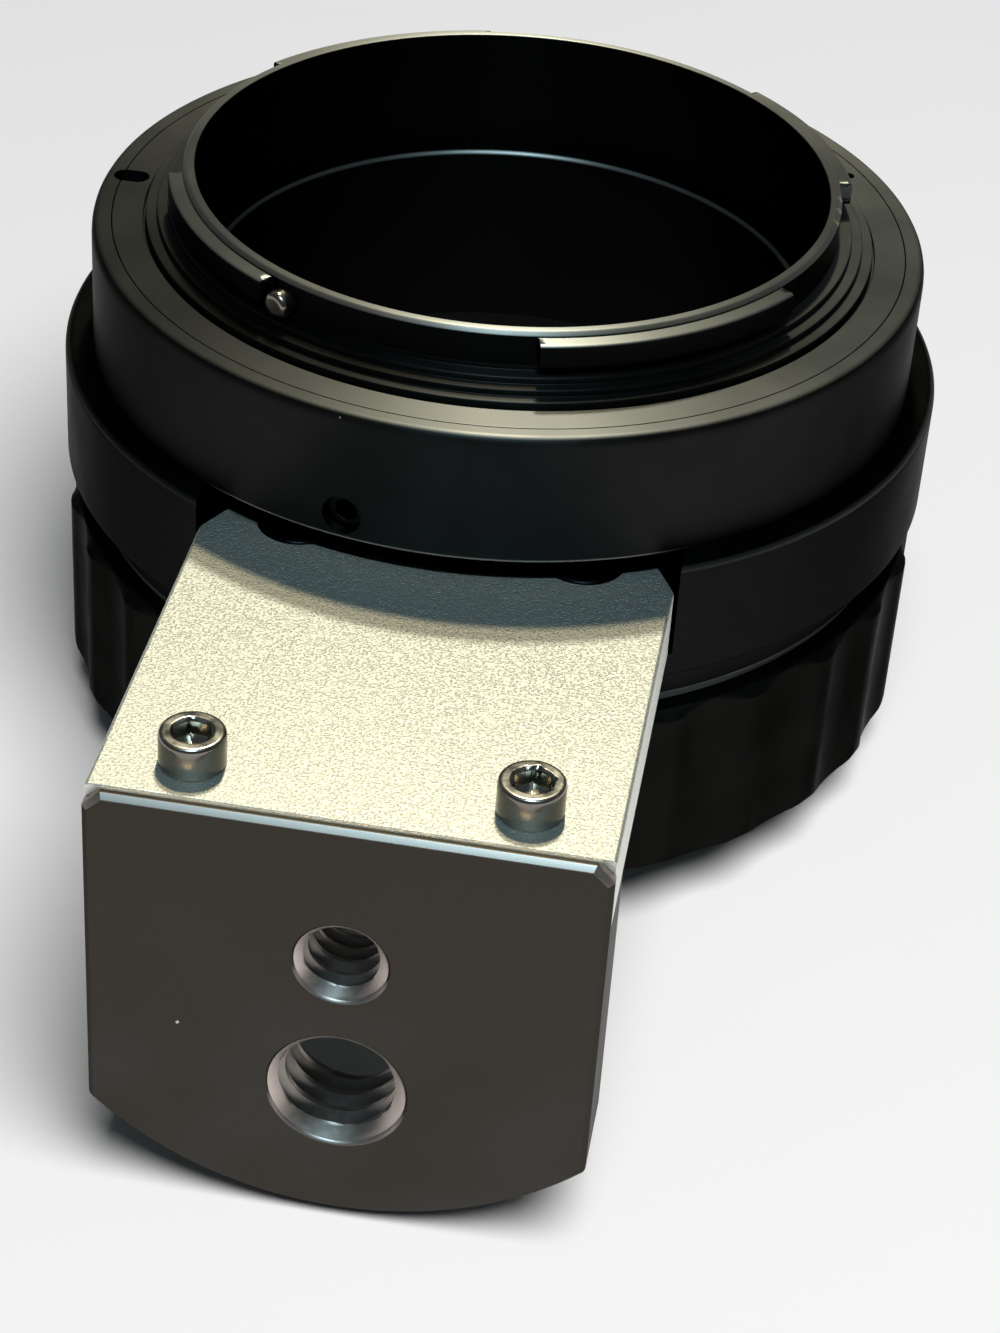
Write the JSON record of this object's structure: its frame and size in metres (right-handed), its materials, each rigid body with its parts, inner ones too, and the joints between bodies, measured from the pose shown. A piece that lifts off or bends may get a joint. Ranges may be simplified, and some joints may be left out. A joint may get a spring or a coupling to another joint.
{
  "type": "lens mount adapter",
  "caption": "Black camera lens mount adapter with a bayonet on one side, a turning breech-lock ring on the other and a bare aluminium tripod foot.",
  "frame": {"origin": "on the optical axis, in the plane of the camera flange", "axes": "+Z along the optical axis towards the camera, -Y towards the tripod foot"},
  "size_m": [0.0684, 0.0957, 0.0502],
  "materials": {
    "black_anodised": "satin black anodised",
    "grip_black": "fine matt black anodised",
    "blasted_aluminium": "bead blasted",
    "machined_aluminium": "smooth machined",
    "bright_steel": "nickel plated",
    "seat_steel": "ground",
    "black_steel": "black oxide",
    "nylon": "smooth",
    "shim_brass": "rolled"
  },
  "bodies": {
    "adapter_body": {"bayonet_mount": "black_anodised", "stop_pin": "bright_steel", "housing": "black_anodised", "set_screw_front": "black_steel", "set_screw_right_rear": "black_steel", "set_screw_left_rear": "black_steel", "main_body": "black_anodised", "foot_arm": "blasted_aluminium", "foot_plate": "machined_aluminium", "plate_screw_left": "bright_steel", "plate_screw_right": "bright_steel", "tail_screw_left": "black_steel", "tail_screw_right": "black_steel", "friction_washer": "nylon", "seat_shim": "shim_brass", "lens_seat": "seat_steel", "seat_screws": "bright_steel", "index_pin": "bright_steel"},
    "grip_ring": {"lock_ring": "grip_black", "stop_screw": "black_steel"}
  },
  "joints": [
    {"name": "ring_turn", "type": "hinge", "parent": "adapter_body", "child": "grip_ring", "pos_m": [0, 0, -0.03], "axis": [0, 0, 1], "range_deg": [0, 45]}
  ]
}
